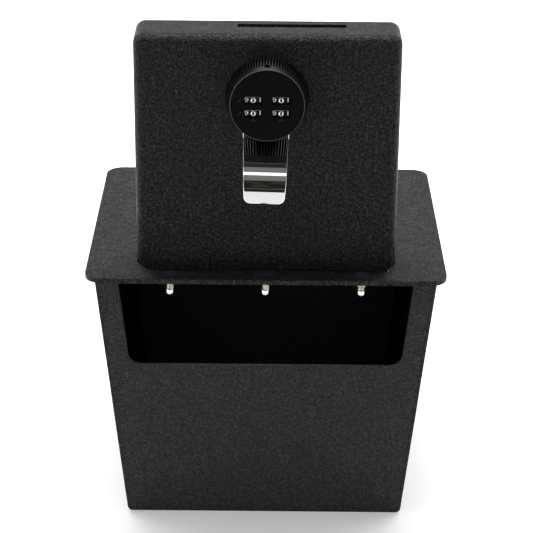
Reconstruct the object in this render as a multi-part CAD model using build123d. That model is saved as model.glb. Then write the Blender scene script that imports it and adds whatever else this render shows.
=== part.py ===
from build123d import *
from build123d.topology import SkipClean
import math
import os

# Drop-in lock box of a vehicle's centre console ("cash box" with a combination lock).
# Frame: X to the right, Y away from the user, Z up.  Origin: centre of the flat underside of the
# box.  The model is at rest with its lid open at 90 degrees, standing along the front edge.

os.makedirs("parts", exist_ok=True)

# ---------------------------------------------------------------- driving dimensions (mm)
PLATE_W, PLATE_D, PLATE_T = 195.0, 166.0, 2.8      # flange plate
PLATE_R = 10.0                                     # its outer corners
Z_TOP = 146.5                                      # upper face of the flange plate
OVERHANG = 5.5                                     # flange beyond the front and rear panels
SHEET = 1.5                                        # body sheet
HALF_BOTTOM = 77.0                                 # half width of the body at its base
SLOPE = 15.5 / 146.5                               # outward lean of each side wall
BEND_R = 3.0                                       # outer radius of the two bottom bends

CUT_DEPTH = 53.7                                   # bottom of the front cut-out below Z_TOP
CUT_MARGIN = 12.5                                  # panel left each side of the cut-out
CUT_R = 7.0

LID_W, LID_L, LID_DEPTH, LID_T = 139.2, 131.4, 26.0, 2.0
LID_CORNER_R, LID_HINGE_CORNER_R, LID_BEND_R = 5.6, 7.5, 4.5
LID_FACE_D = 12.6                                  # lid's outer face behind the plate's front edge

HINGE_D = 14.9                                     # hinge axis behind the plate's front edge
BARREL_R, PIN_R, LEAF_T = 2.1, 1.1, 1.0
HINGE_LEN, KNUCKLES, KNUCKLE_GAP = 127.0, 10, 0.3
HINGE_X = 2.45                                     # middle of the hinge, a little right of centre
LEAF_FRONT_D = 5.5                                 # fixed leaf ends flush with the front panel
LID_LEAF_W = 15.0
OPEN_FRONT_D, OPEN_REAR_D, OPEN_HALF_W = 12.5, 151.3, 70.6
OPEN_R_FRONT, OPEN_R_REAR, HINGE_RELIEF = 14.5, 6.0, 0.75

BLIND_X = (-51.5, 0.0, 51.5)                       # blind rivets through strip and fixed leaf
BLIND_D, BLIND_R, BLIND_HEAD_R = 8.5, 2.2, 3.7
BLIND_HEAD_T = 1.3                                 # countersunk head, flush with the plate
BODY_END, MANDREL_END = 8.8, 12.8                  # ends of body and mandrel below Z_TOP
BULB_R, BULB_END = 2.98, (5.3, 5.3, 7.0)            # the bulb set behind the leaf
MANDREL_R, MANDREL_OFF = 2.3, (-0.3, -0.3, 0.0)    # two of the mandrel heads sit off centre

LOCK_FROM_FREE_END = 32.8
CAM_DEPTH = 17.55                                  # cam's mid plane behind the lid's outer face
CAM_T, CAM_L, CAM_HALF_W = 2.5, 41.0, 9.5
SLOT_X = (-15.8, 40.9)
SLOT_W = 5.5

KNOB_H, KNOB_R0, KNOB_R1 = 15.0, 22.0, 20.45       # height above the lid, knurl radii
KNURL_TOP = 10.7
BAND_R0, BAND_R1 = 20.2, 19.35
PIN_H = 11.6                                       # height of the code-change hole
RIBS, RIB_DEPTH = 88, 0.8
WHEEL_R, WHEEL_W, WHEEL_H = 6.0, 3.7, 8.75         # radius, width, axis height above the lid
COL_X = (-7.15, 7.15)
ROW_Y = (2.85, -4.25)
WIN_W, WIN_H = 9.4, 4.1
AXLE_R = 1.0

PULL_T, PULL_RAMP = 1.5, 54.0                      # strip thickness, angle of the finger ramp
PULL_RAMP_L, PULL_NOSE_R, PULL_EDGE_R = 16.6, 14.4, 0.5
PULL_TILT = 1.4                                    # degrees, the pull hangs a touch off plumb
PULL_W0, PULL_W1 = 24.5, 21.2                      # width near the knob and at the lip

FLOOR_HOLE_R, FLOOR_X, FLOOR_Y = 3.5, 110.0, 110.0

# ---------------------------------------------------------------- derived
Y_FRONT = -PLATE_D / 2
Z_UNDER = Z_TOP - PLATE_T
Y_PANEL = Y_FRONT + OVERHANG                       # outer face of the front panel
LID_Y = Y_FRONT + LID_FACE_D                       # outer face of the open lid
HINGE_Y = Y_FRONT + HINGE_D
LEAF_Z = Z_UNDER - LEAF_T                          # underside of the fixed leaf
HINGE_Z = LEAF_Z + BARREL_R
LID_Z0 = HINGE_Z + BARREL_R                        # hinge end of the open lid
LID_Z1 = LID_Z0 + LID_L
LOCK_Z = LID_Z1 - LOCK_FROM_FREE_END
CLOSED_FACE_Z = HINGE_Z + (HINGE_Y - LID_Y)        # lid's outer face when shut
CAM_OUT, CAM_IN = -CAM_DEPTH + CAM_T / 2, -CAM_DEPTH - CAM_T / 2   # the cam's two faces
STOP_T = 1.2
STOP_OUT = CAM_OUT + STOP_T                        # stop washer sits between barrel and cam
BARREL_END = STOP_OUT + 1.7

MIN, CEN, MAX = Align.MIN, Align.CENTER, Align.MAX
LOCK = Plane(origin=(0, LID_Y, LOCK_Z), x_dir=(1, 0, 0), z_dir=(0, -1, 0)).location


def half_width(z):
    return HALF_BOTTOM + SLOPE * z


def block(x0, x1, y0, y1, z0, z1):
    return Pos(x0, y0, z0) * Box(x1 - x0, y1 - y0, z1 - z0, align=(MIN, MIN, MIN))


def disc(r, z0, z1, x=0.0, y=0.0):
    return Pos(x, y, z0) * Cylinder(r, z1 - z0, align=(CEN, CEN, MIN))


def solid(s):
    """The single solid of a boolean result."""
    got = s.solids()
    assert len(got) == 1, len(got)
    return got[0]


def save(node, *shapes):
    got = []
    for s in shapes:
        got += list(s.solids())
    for s in got:
        s.label = node
    out = got[0] if len(got) == 1 else Compound(children=got)
    out.label = node
    export_step(out, f"parts/{node}.step")
    print(f"{node:20s} {len(got)} solid(s) {sum(s.volume for s in got) / 1000:8.3f} cm3")


def trapezoid(inset, z0, z1):
    """Body section between two heights, inset from the outer side faces (measured level)."""
    return Polygon((-half_width(z0) + inset, z0), (half_width(z0) - inset, z0),
                   (half_width(z1) - inset, z1), (-half_width(z1) + inset, z1), align=None)


def corners(sk, z, tol=1e-3):
    return [v for v in sk.vertices() if abs(v.Y - z) < tol]


# ---------------------------------------------------------------- body
level = SHEET / math.cos(math.atan(SLOPE))         # the sheet's thickness measured level
outer = trapezoid(0, 0, Z_UNDER)
outer = fillet(corners(outer, 0), BEND_R)
inner = trapezoid(level, SHEET, Z_UNDER)
inner = fillet(corners(inner, SHEET), BEND_R - SHEET)
front_plane = Plane(origin=(0, 0, 0), x_dir=(1, 0, 0), z_dir=(0, -1, 0))


def along_y(sketch, y0, y1):
    """Extrudes an X-Z sketch from y0 to y1."""
    return extrude(Plane(origin=(0, y1, 0), x_dir=(1, 0, 0), z_dir=(0, -1, 0)) * sketch, y1 - y0)


wrap = along_y(outer - inner, Y_PANEL, -Y_PANEL)
for sx in (-1, 1):
    for sy in (-1, 1):
        wrap -= disc(FLOOR_HOLE_R, -1, SHEET + 1, sx * FLOOR_X / 2, sy * FLOOR_Y / 2)
wrap = solid(wrap)
save("body_wrap", wrap)

z_cut = Z_TOP - CUT_DEPTH
cut = Polygon((-half_width(z_cut) + CUT_MARGIN, z_cut), (half_width(z_cut) - CUT_MARGIN, z_cut),
              (half_width(Z_TOP) - CUT_MARGIN, Z_TOP), (-half_width(Z_TOP) + CUT_MARGIN, Z_TOP),
              align=None)
cut = fillet(corners(cut, z_cut), CUT_R)
front = solid(along_y(inner - cut, Y_PANEL, Y_PANEL + SHEET))
rim = [e for e in front.edges() if abs(e.center().Y - Y_PANEL) < 1e-3]
front = chamfer([e for e in rim if e.center().Z < Z_UNDER - 0.01], 0.25)
save("front_panel", front)
rear = solid(along_y(inner, -Y_PANEL - SHEET, -Y_PANEL))
save("rear_panel", rear)

# ---------------------------------------------------------------- flange plate with the lid's opening
plate_sk = RectangleRounded(PLATE_W, PLATE_D, PLATE_R)
open_len = OPEN_REAR_D - OPEN_FRONT_D
opening = Pos(0, Y_FRONT + OPEN_FRONT_D + open_len / 2) * Rectangle(2 * OPEN_HALF_W, open_len)
opening = fillet([v for v in opening.vertices() if v.Y < 0], OPEN_R_FRONT)
opening = fillet([v for v in opening.vertices() if v.Y > 50 + OPEN_R_FRONT and abs(v.X) > OPEN_HALF_W - 0.1], OPEN_R_REAR)
# the wide front corners are cut back square to let the ends of the hinge barrel through
relief = Rectangle(HINGE_LEN + 2 * HINGE_RELIEF, 20.0)
relief = fillet([v for v in relief.vertices() if v.Y < 0], 0.8)
opening += Pos(HINGE_X, Y_FRONT + OPEN_FRONT_D + 10.0) * relief
plate_sk -= opening
plate = solid(Pos(0, 0, Z_UNDER) * extrude(plate_sk, PLATE_T))
rim = [e for e in plate.edges().filter_by(Plane.XY)
       if abs(e.center().Z - Z_TOP) < 1e-3 and (abs(e.center().X) > PLATE_W / 2 - 5 or abs(e.center().Y) > PLATE_D / 2 - 5)]
plate = fillet(rim, 0.5)
for x in BLIND_X:
    at = Pos(x, Y_FRONT + BLIND_D, 0)
    plate -= at * disc(BLIND_R + 0.1, Z_UNDER - 1, Z_TOP + 1)
    plate -= at * Pos(0, 0, Z_TOP - BLIND_HEAD_T) * Cone(BLIND_R + 0.1, BLIND_HEAD_R + 0.1, BLIND_HEAD_T, align=(CEN, CEN, MIN))
plate = solid(plate)
# the underside keeps the line where the walls meet it, so the ledge that rests on a console's rim
# is a face of its own
ledge = Rectangle(PLATE_W + 10, PLATE_D + 10) - Rectangle(2 * half_width(Z_UNDER), -2 * Y_PANEL)
ledge = Pos(0, 0, Z_UNDER - 0.5) * extrude(ledge, 1.0)
inner_part, outer_part = plate - ledge, plate & ledge
with SkipClean():
    plate = solid(inner_part.fuse(outer_part))
print("plate faces at the underside", len([f for f in plate.faces() if abs(f.center().Z - Z_UNDER) < 1e-6]))
save("top_plate", plate)

# strike: an angle welded inside the rear panel; the cam turns in under its ledge
cam_top = CLOSED_FACE_Z - CAM_DEPTH + CAM_T / 2
y_in = -Y_PANEL - SHEET
strike_z = cam_top + 0.35
strike = block(-28, 28, y_in - 2.0, y_in, strike_z, Z_UNDER) \
    + block(-28, 28, 68.0, y_in, strike_z, strike_z + 2.0)
strike = solid(strike)
save("strike_angle", strike)

# ---------------------------------------------------------------- hinge
pitch = HINGE_LEN / KNUCKLES


def knuckle_span(i):
    x0 = -HINGE_LEN / 2 + i * pitch
    return x0 + KNUCKLE_GAP / 2, x0 + pitch - KNUCKLE_GAP / 2


def x_cylinder(r, x0, x1, y, z):
    return Pos(x0, y, z) * Rot(0, 90, 0) * Cylinder(r, x1 - x0, align=(CEN, CEN, MIN))


leaf = block(-HINGE_LEN / 2, HINGE_LEN / 2, Y_FRONT + LEAF_FRONT_D, HINGE_Y - BARREL_R - 0.3,
             LEAF_Z, Z_UNDER)
lid_leaf = block(-HINGE_LEN / 2, HINGE_LEN / 2, HINGE_Y + BARREL_R + 0.3, HINGE_Y + LID_LEAF_W,
                 LID_Z0 - LEAF_T, LID_Z0)
for i in range(KNUCKLES):
    x0, x1 = knuckle_span(i)
    roll = x_cylinder(BARREL_R, x0, x1, HINGE_Y, HINGE_Z)
    if i % 2 == 0:
        leaf += roll + block(x0, x1, HINGE_Y - BARREL_R - 0.5, HINGE_Y, LEAF_Z, Z_UNDER)
    else:
        lid_leaf += roll + block(x0, x1, HINGE_Y, HINGE_Y + BARREL_R + 0.5, LID_Z0 - LEAF_T, LID_Z0)
leaf -= x_cylinder(PIN_R + 0.02, -HINGE_LEN, HINGE_LEN, HINGE_Y, HINGE_Z)
lid_leaf -= x_cylinder(PIN_R + 0.05, -HINGE_LEN, HINGE_LEN, HINGE_Y, HINGE_Z)
leaf, lid_leaf = Pos(HINGE_X, 0, 0) * leaf, Pos(HINGE_X, 0, 0) * lid_leaf
for x in BLIND_X:
    leaf -= disc(BLIND_R + 0.1, LEAF_Z - 1, Z_UNDER + 1, x, Y_FRONT + BLIND_D)
RIVET_X = (-43.75, 6.25, 43.75)
RIVET_Y = HINGE_Y + 9.3
for x in RIVET_X:
    lid_leaf -= disc(1.6, LID_Z0 - 3, LID_Z0 + 1, x, RIVET_Y)
leaf = solid(leaf)
lid_leaf = solid(lid_leaf)
save("hinge_fixed_leaf", leaf)
save("hinge_lid_leaf", lid_leaf)
pin = x_cylinder(PIN_R, -HINGE_LEN / 2, HINGE_LEN / 2, HINGE_Y, HINGE_Z) \
    + x_cylinder(1.6, -HINGE_LEN / 2 - 0.5, -HINGE_LEN / 2 + 0.15, HINGE_Y, HINGE_Z) \
    + x_cylinder(1.6, HINGE_LEN / 2 - 0.15, HINGE_LEN / 2 + 0.5, HINGE_Y, HINGE_Z)
save("hinge_pin", solid(Pos(HINGE_X, 0, 0) * pin))

bodies, mandrels = [], []
for x, bulb, off in zip(BLIND_X, BULB_END, MANDREL_OFF):
    y = Y_FRONT + BLIND_D
    z_end = Z_TOP - BODY_END
    b = disc(BLIND_R, z_end, Z_TOP - BLIND_HEAD_T) \
        + Pos(0, 0, Z_TOP - BLIND_HEAD_T) * Cone(BLIND_R, BLIND_HEAD_R, BLIND_HEAD_T, align=(CEN, CEN, MIN))
    ring = disc(BULB_R, Z_TOP - bulb, LEAF_Z)
    ring = fillet([e for e in ring.edges() if abs(e.center().Z - (Z_TOP - bulb)) < 1e-3], 0.8)
    b = b + ring - disc(1.15, z_end - 1, Z_TOP + 1)
    b = fillet([e for e in b.edges() if abs(e.center().Z - z_end) < 1e-3 and e.radius > 1.5], 0.3)
    bodies.append(Pos(x, y, 0) * solid(b))
    z0 = Z_TOP - MANDREL_END
    m = disc(MANDREL_R, z0, z_end, off)
    m = fillet([e for e in m.edges() if abs(e.center().Z - z0) < 1e-3], MANDREL_R * 0.93)
    m = fillet([e for e in m.edges() if abs(e.center().Z - z_end) < 1e-3], 0.4)
    m = m + disc(1.1, z_end - 0.5, Z_TOP - 0.05)
    mandrels.append(Pos(x, y, 0) * solid(m))
save("hinge_rivets", *bodies)
save("rivet_mandrels", *mandrels)

# ---------------------------------------------------------------- lid pan, open
# local frame: x = X, y = Z measured from the lid's middle, z = outwards (towards -Y)
LID = Plane(origin=(0, LID_Y, (LID_Z0 + LID_Z1) / 2), x_dir=(1, 0, 0), z_dir=(0, -1, 0)).location


def pan(shrink, depth_from, depth_to, r_bend):
    """Pressed pan, its bends rounded on three sides and crisp at the hinge end."""
    w, l = LID_W - 2 * shrink, LID_L - 2 * shrink
    sk = Pos(0, -10) * Rectangle(w, l + 20)
    sk = fillet([v for v in sk.vertices() if v.Y > 0], LID_CORNER_R - shrink)
    p = Pos(0, 0, -depth_to) * extrude(sk, depth_to - depth_from)
    p = fillet([e for e in p.edges() if abs(e.center().Z + depth_from) < 1e-3], r_bend)
    outline = Rectangle(w, l)
    outline = fillet([v for v in outline.vertices() if v.Y < 0], LID_HINGE_CORNER_R - shrink)
    return solid(p & (Pos(0, 0, -depth_to - 1) * extrude(outline, depth_to + 2)))


shell = pan(0, 0, LID_DEPTH, LID_BEND_R) - pan(LID_T, LID_T, LID_DEPTH + 1, LID_BEND_R - LID_T)
lock_y = LID_L / 2 - LOCK_FROM_FREE_END
bore = disc(9.6, -LID_T - 1, 1) & Box(16.6, 40, 20)
shell -= Pos(0, lock_y, 0) * bore
slot = block(SLOT_X[0], SLOT_X[1], LID_L / 2 - LID_T - 1, LID_L / 2 + 1,
             -CAM_DEPTH - SLOT_W / 2, -CAM_DEPTH + SLOT_W / 2)
shell -= slot
for x in RIVET_X:
    shell -= Pos(x, -LID_L / 2 - 1, -(RIVET_Y - LID_Y)) * Rot(-90, 0, 0) * \
        Cylinder(1.6, LID_T + 2, align=(CEN, CEN, MIN))
shell = solid(shell)
save("lid_shell", LID * shell)

rivets = []
for x in RIVET_X:
    r = disc(1.6, LID_Z0 - LEAF_T, LID_Z0 + LID_T, x, RIVET_Y) \
        + disc(2.9, LID_Z0 - LEAF_T - 0.8, LID_Z0 - LEAF_T, x, RIVET_Y) \
        + disc(2.6, LID_Z0 + LID_T, LID_Z0 + LID_T + 1.2, x, RIVET_Y)
    tips = [e for e in r.edges() if e.center().Z < LID_Z0 - LEAF_T - 0.7 or e.center().Z > LID_Z0 + LID_T + 1.1]
    rivets.append(fillet(tips, 0.5))
save("lid_leaf_rivets", *rivets)

# ---------------------------------------------------------------- pull, clamped under the knob
# side profile in the lock's frame: y up the lid, z outwards
END_Y = 51.6
with BuildLine() as side:
    l1 = Line((21.0, PULL_T / 2), (-22.0, PULL_T / 2))
    a1 = JernArc(l1 @ 1, l1 % 1, 1.75, -PULL_RAMP)
    ramp = Line(a1 @ 1, a1 @ 1 + (a1 % 1) * PULL_RAMP_L)
    a2 = JernArc(ramp @ 1, ramp % 1, PULL_NOSE_R, PULL_RAMP)
    lip = Line(a2 @ 1, (-END_Y, (a2 @ 1).Y))
PULL_H = (lip @ 1).Y + PULL_T / 2
prof = trace(side.line, PULL_T)
strip = extrude(Plane(origin=(-15, 0, 0), x_dir=(0, 1, 0), z_dir=(1, 0, 0)) * prof, 30)
# plan outline: round under the knob, narrowing to a lip with rounded corners and a shallow notch
tail = Polygon((-PULL_W0 / 2, -10), (-PULL_W0 / 2, -19.5), (-PULL_W1 / 2, -END_Y),
               (PULL_W1 / 2, -END_Y), (PULL_W0 / 2, -19.5), (PULL_W0 / 2, -10), align=None)
tail = fillet([v for v in tail.vertices() if abs(v.Y + END_Y) < 1e-3], 3.6)
tail -= Pos(0, -END_Y - 8.4) * Circle(9.0)
plan = Circle(20.0) + tail
pull = solid(strip & (Pos(0, 0, -1) * extrude(plan, 40)))


def on_front(e):
    """True for an edge of the strip's outer side: metal behind it, none before it."""
    c = e.position_at(0.5)
    return pull.is_inside(Vector(c.X * 0.985, c.Y + 0.02, c.Z - 0.12)) \
        and not pull.is_inside(Vector(c.X * 0.985, c.Y, c.Z + 0.12))


sides = [e for e in pull.edges() if abs(e.position_at(0.5).X) > 8.5 and e.position_at(0.5).Y < -19.6
         and e.length > 0.8 and on_front(e)]
pull = pull.fillet(PULL_EDGE_R, sides)
pull = solid(pull - (disc(9.6, -1, 4) & Box(17.2, 40, 20)))
pull = Rot(0, 0, -PULL_TILT) * pull
save("pull_handle", LOCK * pull)

# ---------------------------------------------------------------- lock, fixed pieces
# local frame: x right, y towards the free end, z outwards; z = 0 is the lid's outer face
barrel = disc(11.5, PULL_T, PULL_T + 0.6) + (disc(9.5, BARREL_END, PULL_T) & Box(16.4, 40, 60))
wedge = Polygon((0, 0), *[(30 * math.cos(math.radians(a)), 30 * math.sin(math.radians(a)))
                          for a in (283, 310, 340, 370, 400, 430, 460, 490, 527)], align=None)
lug = (disc(8.2, STOP_OUT + 0.15, BARREL_END) - disc(6.4, -17, -12)) & (Pos(0, 0, -18) * extrude(wedge, 6))
barrel = barrel + lug - disc(6.06, -20, 6)
barrel = solid(barrel)
save("lock_barrel", LOCK * barrel)
washer = disc(13.0, -LID_T - 0.8, -LID_T) - disc(9.6, -6, 0)
save("lock_washer", LOCK * washer)
nut = extrude(RegularPolygon(13.0, 6, major_radius=False), 5.0)
nut &= Pos(0, 0, 2.5) * Sphere(15.0)
nut = Pos(0, 0, -LID_T - 5.8) * nut - disc(9.55, -9, 0)
save("lock_nut", LOCK * solid(nut))

# ---------------------------------------------------------------- lock, turning pieces
BASE0, BASE1 = PULL_T + 0.75, PULL_T + 1.95
spindle = disc(18.5, BASE0, BASE1) + disc(6.0, STOP_OUT + 0.05, BASE0) \
    + (Pos(0, 0, CAM_IN + 0.1) * Box(7, 7, 4.5, align=(CEN, CEN, MIN)))
for x in COL_X:
    for y in ROW_Y:
        spindle -= Pos(x, y, BASE0 - 0.01) * Box(6.6, WHEEL_W + 0.6, 4, align=(CEN, CEN, MIN))
spindle -= disc(2.55, -30, -10)
save("lock_spindle", LOCK * solid(spindle))


def star(r):
    pts = []
    for k in range(2 * RIBS):
        a = math.pi * k / RIBS + math.pi / (2 * RIBS)
        rr = r if (k // 1) % 2 == 0 else r - RIB_DEPTH
        w = 0.22 * math.pi / RIBS
        pts.append((rr * math.cos(a - w), rr * math.sin(a - w)))
        pts.append((rr * math.cos(a + w), rr * math.sin(a + w)))
    return Polygon(*pts, align=None)


SK0 = PULL_T + 0.25
skirt = loft([Pos(0, 0, SK0) * star(KNOB_R0), Pos(0, 0, KNURL_TOP) * star(KNOB_R1)], ruled=True)
skirt -= disc(18.6, SK0 - 1, BASE1)
skirt -= disc(16.9, BASE1 - 0.01, BASE1 + 1.0)
skirt -= disc(18.6, BASE1 + 1.0, KNURL_TOP + 1)
PIN_HOLE = Pos(0, 12, PIN_H) * Rot(-90, 0, 0) * Cylinder(1.55, 12, align=(CEN, CEN, MIN))
skirt -= PIN_HOLE
save("knob_skirt", LOCK * solid(skirt))

cap_prof = Polygon((0, KNURL_TOP), (BAND_R0, KNURL_TOP), (BAND_R1, KNOB_H - 0.35), (BAND_R1 - 0.3, KNOB_H),
                   (0, KNOB_H), align=None)
cap = revolve(Plane.XZ * cap_prof, Axis.Z)
cap -= disc(17.6, KNURL_TOP - 1, KNOB_H - 1.6)
for x in COL_X:
    for y in ROW_Y:
        cap -= Pos(x, y, KNOB_H - 3) * Box(WIN_W, WIN_H, 6, align=(CEN, CEN, MIN))
cap -= PIN_HOLE
save("knob_face", LOCK * solid(cap))

# carrier of the dial wheels, standing on the spindle's disc
fy0, fy1 = ROW_Y[1] - WHEEL_W / 2 - 2.4, ROW_Y[0] + WHEEL_W / 2 + 2.4
frame = block(-14.6, 14.6, fy0, fy1, BASE1, 12.6)
for x in COL_X:
    for y in ROW_Y:
        frame -= Pos(x, y, 0) * Box(2 * WHEEL_R + 0.8, WHEEL_W + 0.5, 40)
    frame -= Pos(x, fy0 - 1, WHEEL_H) * Rot(-90, 0, 0) * Cylinder(AXLE_R + 0.01, 40, align=(CEN, CEN, MIN))
save("dial_frame", LOCK * solid(frame))

axles = []
for x in COL_X:
    axles.append(Pos(x, fy0, WHEEL_H) * Rot(-90, 0, 0) * Cylinder(AXLE_R, fy1 - fy0, align=(CEN, CEN, MIN)))
save("dial_axles", *[LOCK * a for a in axles])

springs = []
for x in COL_X:
    for y in ROW_Y:
        s = 1 if x > 0 else -1
        xc = s * 13.4
        springs.append(Pos(xc, y, BASE1) * Box(0.2, 2.6, 6.0, align=(CEN, CEN, MIN)))
save("detent_springs", *[LOCK * s for s in springs])

n = 0
for y in ROW_Y:
    for x in COL_X:
        n += 1
        w = Cylinder(WHEEL_R, WHEEL_W)
        w = chamfer([e for e in w.edges() if abs(abs(e.center().Z) - WHEEL_W / 2) < 1e-3], 0.4)
        for k in range(10):
            w -= Rot(0, 0, 36 * k + 18) * Pos(WHEEL_R, 0, 0) * Rot(0, 0, 45) * Box(0.42, 0.42, WHEEL_W + 1)
        w -= Cylinder(AXLE_R + 0.05, WHEEL_W + 1)
        w = solid(w)
        # wheel axis along the lid; a digit faces straight out
        w = Pos(x, y, WHEEL_H) * Rot(-90, 0, 0) * Rot(0, 0, -90) * w
        save(f"dial_wheel_{n}", LOCK * w)

plunger = Pos(0, 9.2, PIN_H) * Rot(-90, 0, 0) * Cylinder(1.3, 10.0, align=(CEN, CEN, MIN))
save("reset_plunger", LOCK * plunger)

stop = disc(9.0, CAM_OUT, STOP_OUT) - Box(7.1, 7.1, 60)
tab_w = Polygon((0, 0), (30, -30 * math.tan(math.radians(12))), (30, 30 * math.tan(math.radians(12))), align=None)
tab = (disc(8.2, STOP_OUT, BARREL_END - 0.15) - disc(6.4, -17, -12)) & (Pos(0, 0, -18) * Rot(0, 0, 180) * extrude(tab_w, 6))
stop = solid(stop + tab)
save("stop_washer", LOCK * stop)

cam_sk = Circle(10.5) + Pos(CAM_L / 2, 0) * Rectangle(CAM_L, 2 * CAM_HALF_W)
cam_sk = fillet([v for v in cam_sk.vertices() if v.X > CAM_L - 0.1], 3.0)
cam_sk -= Rectangle(7.1, 7.1)
cam = Pos(0, 0, CAM_IN) * extrude(cam_sk, CAM_T)
save("cam", LOCK * solid(cam))

c0 = CAM_IN
screw = disc(2.5, c0 - 0.01, -12)
head = extrude(RegularPolygon(4.0, 6, major_radius=False), 3.2)
head &= Pos(0, 0, 1.9) * Sphere(4.75)
screw = screw + disc(6.5, c0 - 1.0, c0) + Pos(0, 0, c0 - 4.2) * head
save("cam_screw", LOCK * solid(screw))

print("pull proud", round(PULL_H, 2), "lip z", round(LOCK_Z - END_Y, 2))
print("hinge", HINGE_Y, HINGE_Z, "lid y", LID_Y, "lid z", LID_Z0, LID_Z1, "lock z", LOCK_Z)
print("closed face z", CLOSED_FACE_Z, "strike z", strike_z, "leaf z", LEAF_Z)
print("axle heights", [round(LOCK_Z + y, 3) for y in ROW_Y], "axle y", LID_Y - WHEEL_H)
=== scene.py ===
import bpy, bmesh, math
from mathutils import Matrix, Vector
from mathutils.geometry import tessellate_polygon


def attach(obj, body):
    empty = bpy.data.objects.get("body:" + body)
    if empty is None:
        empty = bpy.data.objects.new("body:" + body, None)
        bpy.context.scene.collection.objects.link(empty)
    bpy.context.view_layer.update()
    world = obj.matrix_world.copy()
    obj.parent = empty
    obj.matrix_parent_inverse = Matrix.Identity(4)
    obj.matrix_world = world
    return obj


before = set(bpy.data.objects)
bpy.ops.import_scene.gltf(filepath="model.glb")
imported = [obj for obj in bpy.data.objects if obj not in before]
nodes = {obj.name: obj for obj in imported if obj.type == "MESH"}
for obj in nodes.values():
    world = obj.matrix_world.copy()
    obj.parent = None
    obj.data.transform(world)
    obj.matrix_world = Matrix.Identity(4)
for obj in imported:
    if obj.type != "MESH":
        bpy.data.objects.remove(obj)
scene = bpy.context.scene
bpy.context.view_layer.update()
MM = 0.001


# ------------------------------------------------------------------ node helpers
def new_material(name):
    m = bpy.data.materials.new(name)
    m.use_nodes = True
    t = m.node_tree
    for n in list(t.nodes):
        t.nodes.remove(n)
    out = t.nodes.new("ShaderNodeOutputMaterial")
    bsdf = t.nodes.new("ShaderNodeBsdfPrincipled")
    t.links.new(bsdf.outputs[0], out.inputs[0])
    return m, t, bsdf


def node(t, kind, inputs=None, **props):
    n = t.nodes.new(kind)
    for k, v in props.items():
        setattr(n, k, v)
    for k, v in (inputs or {}).items():
        if hasattr(v, "is_output"):
            t.links.new(v, n.inputs[k])
        else:
            n.inputs[k].default_value = v
    return n


def math_node(t, op, a, b=0.0, clamp=False, c=0.0):
    return node(t, "ShaderNodeMath", {0: a, 1: b, 2: c}, operation=op, use_clamp=clamp).outputs[0]


def ramp(t, fac, stops, interp="LINEAR"):
    r = node(t, "ShaderNodeValToRGB", {0: fac})
    r.color_ramp.interpolation = interp
    e = r.color_ramp.elements
    while len(e) > 1:
        e.remove(e[-1])
    e[0].position, e[0].color = stops[0][0], grey(stops[0][1])
    for p, c in stops[1:]:
        x = e.new(p)
        x.color = grey(c)
    return r.outputs[0]


def grey(c):
    return (c, c, c, 1.0) if isinstance(c, (int, float)) else (*c, 1.0)


def mix_rgb(t, fac, a, b):
    n = t.nodes.new("ShaderNodeMix")
    n.data_type = "RGBA"
    for key, v in ((0, fac), (6, a), (7, b)):
        if hasattr(v, "is_output"):
            t.links.new(v, n.inputs[key])
        else:
            n.inputs[key].default_value = v if key == 0 else grey(v)
    return n.outputs[2]


def noise(t, co, scale, detail=2.0, rough=0.5, distortion=0.0):
    return node(t, "ShaderNodeTexNoise",
                {"Vector": co, "Scale": scale, "Detail": detail, "Roughness": rough,
                 "Distortion": distortion}).outputs[0]


def shifted(t, co, amount, scale):
    """Coordinates pushed about by noise, so that cells and streaks aren't regular."""
    n = node(t, "ShaderNodeTexNoise", {"Vector": co, "Scale": scale, "Detail": 1.0})
    off = node(t, "ShaderNodeVectorMath", {0: n.outputs[1], 1: (0.5, 0.5, 0.5)}, operation="SUBTRACT")
    off = node(t, "ShaderNodeVectorMath", {0: off.outputs[0], 3: amount}, operation="SCALE")
    return node(t, "ShaderNodeVectorMath", {0: co, 1: off.outputs[0]}, operation="ADD").outputs[0]


def bump(t, height, strength, distance, normal=None):
    ins = {"Height": height, "Strength": strength, "Distance": distance}
    if normal is not None:
        ins["Normal"] = normal
    return node(t, "ShaderNodeBump", ins).outputs[0]


# ------------------------------------------------------------------ materials
def inside_box(t, co):
    """1 on the surfaces of the body that face its inside, 0 on the outer ones."""
    xyz = node(t, "ShaderNodeSeparateXYZ", {0: co})
    x = math_node(t, "ABSOLUTE", xyz.outputs[0])
    y = math_node(t, "ABSOLUTE", xyz.outputs[1])
    wall = math_node(t, "MULTIPLY_ADD", xyz.outputs[2], 15.5 / 146.5, c=0.0762)
    a = math_node(t, "LESS_THAN", x, wall)
    b = math_node(t, "LESS_THAN", y, 0.0768)
    c = math_node(t, "GREATER_THAN", xyz.outputs[2], 0.0009)
    side = math_node(t, "GREATER_THAN", x, math_node(t, "SUBTRACT", wall, 0.0025))
    return math_node(t, "MULTIPLY", a, math_node(t, "MULTIPLY", b, c)), side


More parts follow.
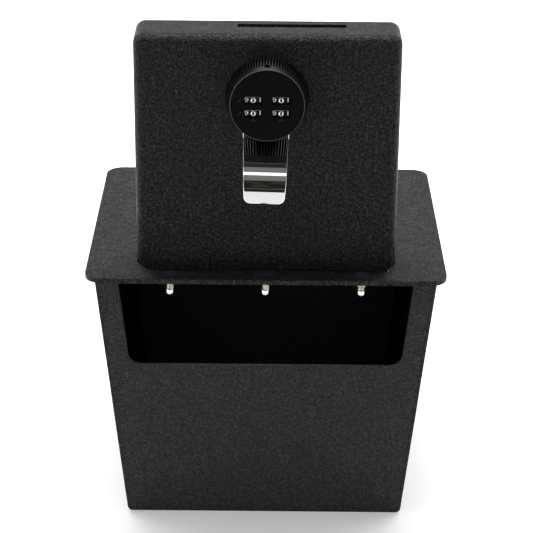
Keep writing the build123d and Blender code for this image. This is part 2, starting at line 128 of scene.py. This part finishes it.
def powder_coat(name, dark, light, rough, spec, relief, seed, dull_and_painted_light_inside=False, fine=1.0):
    """Black wrinkle powder coat: short curled ridges about a millimetre apart over a finer grain."""
    m, t, b = new_material(name)
    co = node(t, "ShaderNodeTexCoord").outputs["Object"]
    place = co
    co = node(t, "ShaderNodeMapping", {0: co, "Location": (seed, seed * 0.7, -seed)}).outputs[0]
    bent = shifted(t, co, 0.0008 / fine, 900.0 * fine)
    cells = node(t, "ShaderNodeTexVoronoi", {"Vector": bent, "Scale": 820.0 * fine, "Randomness": 1.0},
                 feature="DISTANCE_TO_EDGE").outputs[0]
    ridge = ramp(t, cells, [(0.0, 1.0), (0.08, 0.8), (0.24, 0.0)], "EASE")
    clump = ramp(t, noise(t, co, 520.0 * fine, 2.0, 0.65), [(0.38, 0.05), (0.62, 1.0)])
    pebble = node(t, "ShaderNodeTexVoronoi", {"Vector": bent, "Scale": 1250.0 * fine, "Randomness": 1.0},
                  feature="SMOOTH_F1").outputs[0]
    grain = noise(t, co, 2200.0, 2.0, 0.6)
    patch = noise(t, co, 170.0, 2.0, 0.6)
    h = math_node(t, "MULTIPLY", ridge, math_node(t, "MULTIPLY_ADD", patch, 1.3, c=0.3))
    h = math_node(t, "ADD", h, math_node(t, "MULTIPLY", pebble, -0.9))
    h = math_node(t, "ADD", h, math_node(t, "MULTIPLY", grain, 0.22))
    n = bump(t, h, 1.0, relief)
    t.links.new(n, b.inputs["Normal"])
    slow = noise(t, co, 14.0, 3.0, 0.55)
    tone = math_node(t, "MULTIPLY_ADD", slow, 0.6, c=0.5)
    # painted highlight: the wrinkle crests are painted lighter in random clumps, standing for the light the crests
    # catch
    bright = math_node(t, "MULTIPLY", math_node(t, "MULTIPLY", ridge, clump), tone, True)
    colour = mix_rgb(t, bright, dark, light)
    if dull_and_painted_light_inside:
        inner, side = inside_box(t, place)
        # painted light and shade inside the box: the inner end walls and floor are painted five times lighter than the
        # coat, the inner side walls almost black
        inside_painted_light = mix_rgb(t, side, tuple(5.0 * c for c in dark), tuple(0.15 * c for c in dark))
        colour = mix_rgb(t, inner, colour, inside_painted_light)
        # painted shade: the inner side walls are also set metallic over their near-black colour, so they mirror almost
        # nothing and stay dark at a shallow angle
        t.links.new(math_node(t, "MULTIPLY", inner, side), b.inputs["Metallic"])
    t.links.new(colour, b.inputs["Base Color"])
    r = ramp(t, patch, [(0.25, rough - 0.07), (0.75, rough + 0.09)])
    r = math_node(t, "ADD", r, math_node(t, "MULTIPLY", math_node(t, "SUBTRACT", slow, 0.5), 0.10))
    if dull_and_painted_light_inside:
        r = math_node(t, "ADD", r, math_node(t, "MULTIPLY", inner, 0.35), True)
    t.links.new(r, b.inputs["Roughness"])
    b.inputs["Specular IOR Level"].default_value = spec
    return m


def satin(name, colour, other, rough, metallic, spec=0.5, grain_scale=1800.0, relief=0.00001, coat=0.0):
    """Moulded or cast surface with a fine grain and slow changes of tone and gloss."""
    m, t, b = new_material(name)
    co = node(t, "ShaderNodeTexCoord").outputs["Object"]
    slow = noise(t, co, 60.0, 3.0, 0.6)
    fine = noise(t, co, grain_scale, 2.0, 0.6)
    t.links.new(mix_rgb(t, slow, colour, other), b.inputs["Base Color"])
    t.links.new(ramp(t, slow, [(0.3, rough * 0.85), (0.7, rough * 1.2)]), b.inputs["Roughness"])
    t.links.new(bump(t, fine, 0.6, relief), b.inputs["Normal"])
    b.inputs["Metallic"].default_value = metallic
    b.inputs["Specular IOR Level"].default_value = spec
    if coat:
        b.inputs["Coat Weight"].default_value = coat
        b.inputs["Coat Roughness"].default_value = 0.06
    return m


def plated(name, colour, other, rough):
    """Polished chrome: a mirror with faint polishing haze and a slight swell."""
    m, t, b = new_material(name)
    co = node(t, "ShaderNodeTexCoord").outputs["Object"]
    haze = noise(t, node(t, "ShaderNodeMapping", {0: co, "Scale": (1.0, 1.0, 0.12)}).outputs[0], 900.0, 3.0, 0.6)
    slow = noise(t, co, 70.0, 2.0, 0.5)
    t.links.new(mix_rgb(t, slow, colour, other), b.inputs["Base Color"])
    t.links.new(ramp(t, haze, [(0.35, rough), (0.8, rough * 2.6)]), b.inputs["Roughness"])
    t.links.new(bump(t, noise(t, co, 120.0, 1.0), 0.5, 0.00002), b.inputs["Normal"])
    b.inputs["Metallic"].default_value = 1.0
    return m


def brushed(name, colour, other, rough, axis=0, scale=2400.0, relief=0.000012):
    """Drawn or turned metal, its lines along one axis."""
    m, t, b = new_material(name)
    co = node(t, "ShaderNodeTexCoord").outputs["Object"]
    s = [1.0, 1.0, 1.0]
    s[axis] = 0.04
    lines = noise(t, node(t, "ShaderNodeMapping", {0: co, "Scale": tuple(s)}).outputs[0], scale, 3.0, 0.7)
    slow = noise(t, co, 220.0, 3.0, 0.6)
    t.links.new(mix_rgb(t, lines, colour, other), b.inputs["Base Color"])
    t.links.new(ramp(t, slow, [(0.3, rough * 0.8), (0.7, rough * 1.35)]), b.inputs["Roughness"])
    t.links.new(bump(t, lines, 0.5, relief), b.inputs["Normal"])
    b.inputs["Metallic"].default_value = 1.0
    return m


def painted_over(name, z_split, below, below_other, rough_below, scale=1500.0):
    """Bright metal whose top, above z_split, was painted black with the plate."""
    m, t, b = new_material(name)
    co = node(t, "ShaderNodeTexCoord").outputs["Object"]
    z = node(t, "ShaderNodeSeparateXYZ", {0: co}).outputs[2]
    wobble = math_node(t, "MULTIPLY", noise(t, co, 500.0), 0.0004)
    top = math_node(t, "GREATER_THAN", math_node(t, "ADD", z, wobble), z_split + 0.0002)
    # the metal below the paint is streaked along its height between the two given tones, dark and pale
    marks = noise(t, node(t, "ShaderNodeMapping", {0: co, "Scale": (1.0, 1.0, 0.08)}).outputs[0], scale, 3.0, 0.7)
    metal = mix_rgb(t, ramp(t, marks, [(0.35, 0.0), (0.7, 1.0)]), below, below_other)
    t.links.new(mix_rgb(t, top, metal, (0.030, 0.031, 0.034)), b.inputs["Base Color"])
    t.links.new(math_node(t, "SUBTRACT", 1.0, top), b.inputs["Metallic"])
    r = math_node(t, "ADD", ramp(t, marks, [(0.3, rough_below), (0.75, rough_below * 1.7)]),
                  math_node(t, "MULTIPLY", top, 0.12), True)
    t.links.new(r, b.inputs["Roughness"])
    t.links.new(bump(t, marks, 0.4, 0.00002), b.inputs["Normal"])
    b.inputs["Specular IOR Level"].default_value = 0.3
    return m


def hinge_steel(name, x_end):
    """Hinge strip painted with the box; the sawn ends past x_end are bare steel."""
    m, t, b = new_material(name)
    co = node(t, "ShaderNodeTexCoord").outputs["Object"]
    x = node(t, "ShaderNodeSeparateXYZ", {0: co}).outputs[0]
    bare = math_node(t, "GREATER_THAN", x, x_end)
    grain = noise(t, co, 1500.0, 3.0, 0.6)
    saw = noise(t, node(t, "ShaderNodeMapping", {0: co, "Scale": (1.0, 0.06, 1.0)}).outputs[0], 3000.0, 2.0)
    paint = mix_rgb(t, grain, (0.007, 0.007, 0.008), (0.016, 0.016, 0.017))
    metal = mix_rgb(t, saw, (0.55, 0.54, 0.52), (0.82, 0.81, 0.78))
    t.links.new(mix_rgb(t, bare, paint, metal), b.inputs["Base Color"])
    t.links.new(bare, b.inputs["Metallic"])
    t.links.new(ramp(t, grain, [(0.3, 0.34), (0.7, 0.5)]), b.inputs["Roughness"])
    t.links.new(bump(t, grain, 0.6, 0.00004), b.inputs["Normal"])
    b.inputs["Specular IOR Level"].default_value = 0.35
    return m


def knurled(name):
    """Moulded knob side: glossy rib crests over rougher grooves, which carry painted shade."""
    m, t, b = new_material(name)
    co = node(t, "ShaderNodeTexCoord").outputs["Object"]
    xyz = node(t, "ShaderNodeSeparateXYZ", {0: co})
    dz = math_node(t, "SUBTRACT", xyz.outputs[2], 0.2455)
    r = math_node(t, "SQRT", math_node(t, "ADD", math_node(t, "MULTIPLY", xyz.outputs[0], xyz.outputs[0]),
                                       math_node(t, "MULTIPLY", dz, dz)))
    # crest radius: 22 mm at the base (y = -72.15 mm) down to 20.45 mm (y = -81.1 mm)
    crest = math_node(t, "MULTIPLY_ADD", math_node(t, "ADD", xyz.outputs[1], 0.07215), 1.55 / 8.95, c=0.022)
    depth = math_node(t, "DIVIDE", math_node(t, "SUBTRACT", crest, r), 0.0008)
    groove = ramp(t, depth, [(0.05, 0.0), (0.32, 1.0)], "EASE")
    grain = noise(t, co, 1800.0, 2.0, 0.6)
    top = mix_rgb(t, grain, (0.0035, 0.0034, 0.0034), (0.0080, 0.0078, 0.0076))
    # painted shade: the grooves are painted near black and set metallic, so they mirror almost nothing and stay dark
    t.links.new(mix_rgb(t, groove, top, (0.0004, 0.0004, 0.0004)), b.inputs["Base Color"])
    t.links.new(groove, b.inputs["Metallic"])
    rough = math_node(t, "MULTIPLY_ADD", groove, 0.5, True, c=0.26)
    t.links.new(math_node(t, "ADD", rough, math_node(t, "MULTIPLY", grain, 0.1)), b.inputs["Roughness"])
    t.links.new(bump(t, grain, 0.4, 0.00001), b.inputs["Normal"])
    b.inputs["Specular IOR Level"].default_value = 0.60
    return m


def wheel_black(name, rows):
    """Moulded black dial wheel with a pale band painted round its upper edge, a painted highlight."""
    m, t, b = new_material(name)
    co = node(t, "ShaderNodeTexCoord").outputs["Object"]
    z = node(t, "ShaderNodeSeparateXYZ", {0: co}).outputs[2]
    painted_highlight_band = None
    for row in rows:
        off = math_node(t, "ABSOLUTE", math_node(t, "SUBTRACT", z, row + 0.00166))
        one = math_node(t, "LESS_THAN", off, 0.00021)
        painted_highlight_band = one if painted_highlight_band is None else math_node(t, "MAXIMUM", painted_highlight_band, one)
    grain = noise(t, co, 2400.0, 2.0, 0.6)
    black = mix_rgb(t, grain, (0.0025, 0.0025, 0.0028), (0.0050, 0.0050, 0.0055))
    # painted highlight: the pale band round the wheel's upper edge stands for the light its chamfer catches
    light = mix_rgb(t, grain, (0.50, 0.50, 0.50), (0.66, 0.66, 0.65))
    t.links.new(mix_rgb(t, painted_highlight_band, black, light), b.inputs["Base Color"])
    t.links.new(ramp(t, grain, [(0.3, 0.34), (0.7, 0.44)]), b.inputs["Roughness"])
    t.links.new(bump(t, grain, 0.4, 0.000008), b.inputs["Normal"])
    b.inputs["Specular IOR Level"].default_value = 0.12
    return m


coat = powder_coat("powder_coat", (0.0022, 0.0023, 0.0028), (0.0760, 0.0780, 0.0870), 0.34, 0.18, 0.00060, 0.0, fine=1.12)
coat_body = powder_coat("powder_coat_body", (0.0060, 0.0061, 0.0071), (0.0520, 0.0530, 0.0600), 0.42, 0.30, 0.00035, 0.21,
                        dull_and_painted_light_inside=True)
knurl_mat = knurled("knob_black")
def cap_black(name):
    """Glossy black cap; the small chamfer round its face is painted paler, a painted highlight."""
    m, t, b = new_material(name)
    co = node(t, "ShaderNodeTexCoord").outputs["Object"]
    xyz = node(t, "ShaderNodeSeparateXYZ", {0: co})
    dz = math_node(t, "SUBTRACT", xyz.outputs[2], 0.2455)
    r = math_node(t, "SQRT", math_node(t, "ADD", math_node(t, "MULTIPLY", xyz.outputs[0], xyz.outputs[0]),
                                       math_node(t, "MULTIPLY", dz, dz)))
    far = math_node(t, "GREATER_THAN", r, 0.01898)
    out = math_node(t, "LESS_THAN", xyz.outputs[1], -0.08498)
    rim = math_node(t, "MULTIPLY", far, out)
    slow = noise(t, co, 60.0, 3.0, 0.6)
    black = mix_rgb(t, slow, (0.0058, 0.0058, 0.0058), (0.0074, 0.0074, 0.0074))
    # painted highlight: the chamfer round the face is painted grey all the way round, standing for the light it catches
    rim_painted_highlight = mix_rgb(t, noise(t, co, 400.0, 2.0), (0.05, 0.05, 0.05), (0.11, 0.11, 0.11))
    t.links.new(mix_rgb(t, rim, black, rim_painted_highlight), b.inputs["Base Color"])
    t.links.new(ramp(t, slow, [(0.3, 0.22), (0.7, 0.30)]), b.inputs["Roughness"])
    t.links.new(bump(t, noise(t, co, 900.0, 2.0, 0.6), 0.6, 0.000003), b.inputs["Normal"])
    b.inputs["Specular IOR Level"].default_value = 0.05
    return m


face_mat = cap_black("face_black")
wheel_mat = wheel_black("wheel_black", (0.2455 + 0.00285, 0.2455 - 0.00425))
frame_mat = satin("frame_black", (0.003, 0.003, 0.0033), (0.005, 0.005, 0.0055), 0.35, 0.0, 0.4, 2400.0, 0.000008)
digit_mat = satin("digit_white", (0.88, 0.88, 0.90), (0.95, 0.95, 0.96), 0.42, 0.0, 0.4, 2600.0, 0.000006)
glow = digit_mat.node_tree.nodes["Principled BSDF"]
# painted light: the white digits also glow a little, though they are no lamp
glow.inputs["Emission Color"].default_value = (1.0, 1.0, 1.0, 1.0)
glow.inputs["Emission Strength"].default_value = 0.28
mark_mat = satin("mark_grey", (0.016, 0.016, 0.016), (0.028, 0.028, 0.028), 0.4, 0.0, 0.4, 2600.0, 0.000006)
chrome = plated("chrome", (0.86, 0.865, 0.87), (0.82, 0.825, 0.84), 0.018)
zinc = satin("lock_zinc", (0.50, 0.50, 0.51), (0.60, 0.60, 0.61), 0.30, 1.0, 0.5, 1600.0, 0.00002)
steel = brushed("bright_steel", (0.56, 0.56, 0.55), (0.68, 0.68, 0.66), 0.28)
brass = satin("brass_oiled", (0.020, 0.016, 0.010), (0.034, 0.027, 0.016), 0.45, 0.6)
rivet_mat = painted_over("rivet_aluminium", 0.1437, (0.10, 0.09, 0.06), (0.60, 0.57, 0.46), 0.20)
mandrel_mat = painted_over("mandrel_steel", 0.1437, (0.66, 0.65, 0.63), (0.90, 0.90, 0.89), 0.14)
hinge_mat = hinge_steel("hinge_steel", 0.0658)

USE = {
    coat: ["top_plate", "lid_shell"],
    coat_body: ["body_wrap", "front_panel", "rear_panel", "strike_angle"],
    hinge_mat: ["hinge_fixed_leaf", "hinge_lid_leaf", "hinge_pin", "lid_leaf_rivets"],
    rivet_mat: ["hinge_rivets"],
    mandrel_mat: ["rivet_mandrels"],
    chrome: ["pull_handle"],
    zinc: ["lock_barrel", "lock_nut", "lock_spindle"],
    steel: ["lock_washer", "stop_washer", "cam", "cam_screw", "dial_axles", "detent_springs"],
    knurl_mat: ["knob_skirt"],
    face_mat: ["knob_face"],
    wheel_mat: ["dial_wheel_1", "dial_wheel_2", "dial_wheel_3", "dial_wheel_4"],
    frame_mat: ["dial_frame"],
    brass: ["reset_plunger"],
}
for mat, names in USE.items():
    for n in names:
        o = nodes[n]
        o.data.materials.clear()
        o.data.materials.append(mat)


# ------------------------------------------------------------------ dial numerals
def arc_pts(cx, cy, rx, ry, a0, a1, n=14):
    return [(cx + rx * math.cos(math.radians(a0 + (a1 - a0) * k / n)),
             cy + ry * math.sin(math.radians(a0 + (a1 - a0) * k / n))) for k in range(n + 1)]


# centre lines of the ten digits, in millimetres about the digit's own middle
DIGIT_LINES = {
    0: [arc_pts(0, 0, 1.00, 0.92, 0, 360, 24)],
    1: [[(0.0, -0.93), (0.0, 0.93)]],
    2: [arc_pts(0, 0.35, 0.82, 0.58, 165, -30, 10) + [(-0.82, -0.93), (0.86, -0.93)]],
    3: [arc_pts(-0.05, 0.46, 0.78, 0.47, 150, -90, 10), arc_pts(-0.05, -0.46, 0.84, 0.47, 90, -150, 10)],
    4: [[(0.42, -0.93), (0.42, 0.93), (-0.86, -0.38), (0.86, -0.38)]],
    5: [[(0.78, 0.93), (-0.66, 0.93), (-0.72, 0.12)] + arc_pts(-0.02, -0.33, 0.82, 0.60, 125, -150, 12)],
    6: [[(0.45, 0.93)] + arc_pts(0.02, -0.20, 0.86, 0.95, 110, 190, 6) + arc_pts(0.0, -0.33, 0.84, 0.60, 190, 550, 20)],
    7: [[(-0.84, 0.93), (0.84, 0.93), (-0.18, -0.93)]],
    8: [arc_pts(0, 0.46, 0.72, 0.47, 0, 360, 18), arc_pts(0, -0.46, 0.82, 0.47, 0, 360, 18)],
    9: [[(-0.45, -0.93)] + arc_pts(-0.02, 0.20, 0.86, 0.95, -70, 10, 6) + arc_pts(0.0, 0.33, 0.84, 0.60, 10, 370, 20)],
}
STROKE = 0.62                                       # mm


def seg_dist(x, y, a, b):
    dx, dy = b[0] - a[0], b[1] - a[1]
    q = dx * dx + dy * dy
    k = 0.0 if q == 0 else max(0.0, min(1.0, ((x - a[0]) * dx + (y - a[1]) * dy) / q))
    return math.hypot(x - a[0] - k * dx, y - a[1] - k * dy)


def glyph(digit):
    """A digit as a flat triangulated mesh in metres: the band STROKE wide about its centre lines."""
    step, nx, ny = 0.08, 38, 38
    x0, y0 = -step * nx / 2, -step * ny / 2
    lines = DIGIT_LINES[digit]
    f = [[STROKE / 2 - min(seg_dist(x0 + i * step, y0 + j * step, a, b) for ln in lines for a, b in zip(ln, ln[1:])) + 1e-6
          for i in range(nx + 1)] for j in range(ny + 1)]

    def cross(i0, j0, i1, j1):
        a, b = f[j0][i0], f[j1][i1]
        k = a / (a - b)
        return (x0 + (i0 + k * (i1 - i0)) * step, y0 + (j0 + k * (j1 - j0)) * step)

    nxt = {}
    for j in range(ny):
        for i in range(nx):
            c = ((i, j), (i + 1, j), (i + 1, j + 1), (i, j + 1))
            inside = [f[q[1]][q[0]] > 0 for q in c]
            if all(inside) or not any(inside):
                continue
            cuts = {}
            for e in range(4):
                a, b = c[e], c[(e + 1) % 4]
                if inside[e] != inside[(e + 1) % 4]:
                    key = (min(a, b), max(a, b))
                    cuts[e] = (key, inside[e])
            # walking round the cell, a cut that leaves the inside is joined to the next one that enters
            leave = [e for e in cuts if cuts[e][1]]
            for e in leave:
                k = e
                while True:
                    k = (k + 1) % 4
                    if k in cuts:
                        break
                nxt[cuts[e][0]] = cuts[k][0]
    loops = []
    left = dict(nxt)
    while left:
        start = next(iter(left))
        loop, at = [], start
        while at in left:
            loop.append(cross(*at[0], *at[1]))
            at = left.pop(at)
        if len(loop) > 5:
            loops.append(loop)
    pts = [(p[0] * MM, p[1] * MM) for loop in loops for p in loop]
    tris = tessellate_polygon([[Vector((p[0], p[1], 0.0)) for p in loop] for loop in loops])
    faces = []
    for t in tris:
        a, b, c = (pts[i] for i in t)
        turn = (b[0] - a[0]) * (c[1] - a[1]) - (b[1] - a[1]) * (c[0] - a[0])
        if abs(turn) > 1e-14:
            faces.append(tuple(t) if turn > 0 else tuple(reversed(t)))
    return pts, faces


LOCK_Y, LOCK_Z = -70.4 * MM, 245.5 * MM
WHEEL_R = 6.0 * MM
WHEEL_Y = LOCK_Y - 8.75 * MM
COLS, ROWS = (-7.15 * MM, 7.15 * MM), (2.85 * MM, -4.25 * MM)
SINK, STAND = 0.05 * MM, 0.035 * MM
GLYPHS = {d: glyph(d) for d in range(10)}


def numerals(name, cx, cz):
    """Ten raised digits wrapped round a wheel that turns about Z at (cx, WHEEL_Y, cz)."""
    bm = bmesh.new()
    for d in range(10):
        pts, faces = GLYPHS[d]
        turn = math.radians(36 * d)
        rings = []
        for r in (WHEEL_R - SINK, WHEEL_R + STAND):
            ring = []
            for u, v in pts:
                a = turn + u / WHEEL_R
                ring.append(bm.verts.new((cx + r * math.sin(a), WHEEL_Y - r * math.cos(a), cz + v)))
            rings.append(ring)
        low, high = rings
        edges = {}
        for f in faces:
            bm.faces.new([high[i] for i in f])
            bm.faces.new([low[i] for i in reversed(f)])
            for i, j in zip(f, f[1:] + f[:1]):
                if (j, i) in edges:
                    edges.pop((j, i))
                else:
                    edges[(i, j)] = True
        for i, j in edges:
            bm.faces.new((low[i], low[j], high[j], high[i]))
    bmesh.ops.recalc_face_normals(bm, faces=bm.faces[:])
    me = bpy.data.meshes.new(name)
    bm.to_mesh(me)
    bm.free()
    o = bpy.data.objects.new(name, me)
    scene.collection.objects.link(o)
    me.materials.append(digit_mat)
    return o


n = 0
for dz in ROWS:
    for cx in COLS:
        n += 1
        o = numerals(f"dial_numerals_{n}", cx, LOCK_Z + dz)
        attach(o, f"dial_{n}")


# ------------------------------------------------------------------ index marks on the knob's face
def strokes(name, lines, width, y_face, thick):
    """Slim raised bars with rounded ends, lying on the knob's face."""
    bm = bmesh.new()
    for (x0, z0), (x1, z1) in lines:
        a = math.atan2(z1 - z0, x1 - x0)
        loop = []
        for cx, cz, start in ((x1, z1, a - math.pi / 2), (x0, z0, a + math.pi / 2)):
            for k in range(7):
                b = start + math.pi * k / 6
                loop.append((cx + width / 2 * math.cos(b), cz + width / 2 * math.sin(b)))
        low = [bm.verts.new((x, y_face + 0.03 * MM, z)) for x, z in loop]
        high = [bm.verts.new((x, y_face - thick, z)) for x, z in loop]
        bm.faces.new(high)
        bm.faces.new(list(reversed(low)))
        for i in range(len(loop)):
            j = (i + 1) % len(loop)
            bm.faces.new((low[i], low[j], high[j], high[i]))
    bmesh.ops.recalc_face_normals(bm, faces=bm.faces[:])
    me = bpy.data.meshes.new(name)
    bm.to_mesh(me)
    bm.free()
    o = bpy.data.objects.new(name, me)
    scene.collection.objects.link(o)
    me.materials.append(mark_mat)
    return o


FACE_Y = LOCK_Y - 15.0 * MM
marks = []
for cx in COLS:
    z = LOCK_Z - 7.3 * MM
    marks += [((cx - 0.95 * MM, z - 1.1 * MM), (cx, z)), ((cx, z), (cx + 0.95 * MM, z - 1.1 * MM))]
for dz in ROWS:
    z = LOCK_Z + dz
    marks += [((-14.9 * MM, z - 0.9 * MM), (-13.5 * MM, z + 0.9 * MM))]
o = strokes("index_marks", marks, 0.34 * MM, FACE_Y, 0.035 * MM)
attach(o, "knob")


# ------------------------------------------------------------------ stage
def mesh_object(name, verts, faces):
    me = bpy.data.meshes.new(name)
    me.from_pydata(verts, [], faces)
    me.update()
    o = bpy.data.objects.new(name, me)
    scene.collection.objects.link(o)
    return o


m_floor, t, b = new_material("floor_paper")
co = node(t, "ShaderNodeTexCoord").outputs["Object"]
y = node(t, "ShaderNodeSeparateXYZ", {0: co}).outputs[1]
# painted shade: the paper is painted darker over its front end, from y = -0.62 to -0.34, standing for the light falling
# off towards the camera
near = ramp(t, math_node(t, "ADD", y, 0.70), [(0.08, 0.0), (0.36, 1.0)], "EASE")
pale = mix_rgb(t, noise(t, co, 5.0, 3.0), (0.90, 0.90, 0.90), (0.93, 0.93, 0.93))
t.links.new(mix_rgb(t, near, (0.60, 0.60, 0.605), pale), b.inputs["Base Color"])
b.inputs["Roughness"].default_value = 0.9
b.inputs["Specular IOR Level"].default_value = 0.1
b.inputs["Emission Color"].default_value = (1.0, 1.0, 1.0, 1.0)
b.inputs["Emission Strength"].default_value = 0.17
pts = [(3.2 * math.cos(2 * math.pi * k / 96), 0.2 + 3.2 * math.sin(2 * math.pi * k / 96), -0.00003) for k in range(96)]
floor = mesh_object("floor", pts, [tuple(range(96))])
floor.data.materials.append(m_floor)

def hidden_card(name, verts, faces, material):
    """Studio card the camera doesn't see and that casts no shadow: it shapes what the surfaces mirror and the light
    they gather.
    """
    o = mesh_object(name, verts, faces)
    o.data.materials.append(material)
    o.visible_camera = False
    o.visible_shadow = False
    return o


def card_material(name, low, high, glow, scale, across=1.0):
    m, t, b = new_material(name)
    co = node(t, "ShaderNodeTexCoord").outputs["Object"]
    co = node(t, "ShaderNodeMapping", {0: co, "Scale": (across, 1.0, 1.0)}).outputs[0]
    f = ramp(t, noise(t, co, scale, 2.0, 0.5), [(0.46, 0.0), (0.68, 1.0)])
    t.links.new(mix_rgb(t, f, low, high), b.inputs["Emission Color"])
    b.inputs["Emission Strength"].default_value = glow
    b.inputs["Base Color"].default_value = (0.01, 0.01, 0.01, 1.0)
    b.inputs["Roughness"].default_value = 0.9
    b.inputs["Specular IOR Level"].default_value = 0.1
    return m


# the room in front: the paper ends at y = -0.62, then dark floor and wall, then a grey ceiling with
# one long lamp across it
dark_room = card_material("dark_room", (0.0, 0.0, 0.0), (0.040, 0.039, 0.030), 1.0, 3.4, 13.0)
grey_room = card_material("grey_room", (0.150, 0.155, 0.135), (0.185, 0.190, 0.165), 1.0, 3.0)
lamp_face = card_material("lamp_face", (1.0, 1.0, 1.0), (1.0, 1.0, 1.0), 1.5, 3.0)
navy = card_material("navy", (0.006, 0.007, 0.010), (0.012, 0.013, 0.018), 1.0, 3.0)
PAPER_END = -0.62


def arc_card(name, elevations, material, half=1.5, radius=1.32):
    vs, fs = [], []
    for k, e in enumerate(elevations):
        a = math.radians(e)
        y, z = -0.09 - radius * math.cos(a), 0.20 + radius * math.sin(a)
        vs += [(-half, y, z), (half, y, z)]
        if k:
            i = 2 * k
            fs.append((i - 2, i - 1, i + 1, i))
    return hidden_card(name, vs, fs, material)


hidden_card("dark_floor", [(-1.5, -1.45, 0.002), (1.5, -1.45, 0.002), (1.5, PAPER_END, 0.002), (-1.5, PAPER_END, 0.002)],
            [(0, 1, 2, 3)], dark_room)
arc_card("dark_wall", [-8, 0, 8, 16, 24], dark_room)
arc_card("grey_low", [24, 31, 38, 45.5], grey_room)
arc_card("front_lamp", [45.5, 49, 53, 57.5], lamp_face)
arc_card("grey_high", [57.5, 64, 71, 79], grey_room)
arc_card("navy_top", [79, 84, 88, 92], navy)


def area(name, loc, target, sx, sy, power, colour=(1, 1, 1)):
    l = bpy.data.lights.new(name, "AREA")
    l.shape = "RECTANGLE"
    l.size, l.size_y = sx, sy
    l.energy = power
    l.color = colour
    o = bpy.data.objects.new(name, l)
    o.location = loc
    o.rotation_mode = "QUATERNION"
    o.rotation_quaternion = (Vector(target) - Vector(loc)).to_track_quat("-Z", "Y")
    scene.collection.objects.link(o)
    return o


area("overhead", (0.0, 0.72, 1.50), (0.0, 0.50, 0.0), 2.4, 1.25, 55.0)
front_top = area("front_top", (0.0, -0.30, 1.75), (0.0, -0.22, 0.0), 1.6, 0.4, 4.3)
front_top.visible_glossy = False
area("left_fill", (-1.3, -0.2, 0.9), (0.0, 0.0, 0.12), 0.7, 0.9, 2.6)

world = bpy.data.worlds.new("studio")
scene.world = world
world.use_nodes = True
bg = world.node_tree.nodes["Background"]
bg.inputs[0].default_value = (1.0, 1.0, 1.0, 1.0)
bg.inputs[1].default_value = 0.56

scene.view_settings.view_transform = "Standard"
scene.view_settings.look = "None"
scene.view_settings.exposure = 0.0
scene.view_settings.gamma = 1.0

# ------------------------------------------------------------------ camera
PITCH, YAW, ROLL = math.radians(24.046), math.radians(-0.098), math.radians(0.467)
fwd = Vector((math.sin(YAW) * math.cos(PITCH), math.cos(YAW) * math.cos(PITCH), -math.sin(PITCH)))
right0 = Vector((math.cos(YAW), -math.sin(YAW), 0.0))
up0 = right0.cross(fwd)
right = right0 * math.cos(ROLL) + up0 * math.sin(ROLL)
up = -right0 * math.sin(ROLL) + up0 * math.cos(ROLL)
cam_data = bpy.data.cameras.new("camera")
cam_data.sensor_width = 36.0
cam_data.lens = 1926.53 / 533 * 36.0
cam_data.clip_start, cam_data.clip_end = 0.05, 50.0
cam = bpy.data.objects.new("camera", cam_data)
cam.matrix_world = Matrix((
    (right.x, up.x, -fwd.x, 0.001912),
    (right.y, up.y, -fwd.y, -1.01943),
    (right.z, up.z, -fwd.z, 0.57232),
    (0, 0, 0, 1)))
scene.collection.objects.link(cam)
scene.camera = cam

bpy.context.view_layer.update()
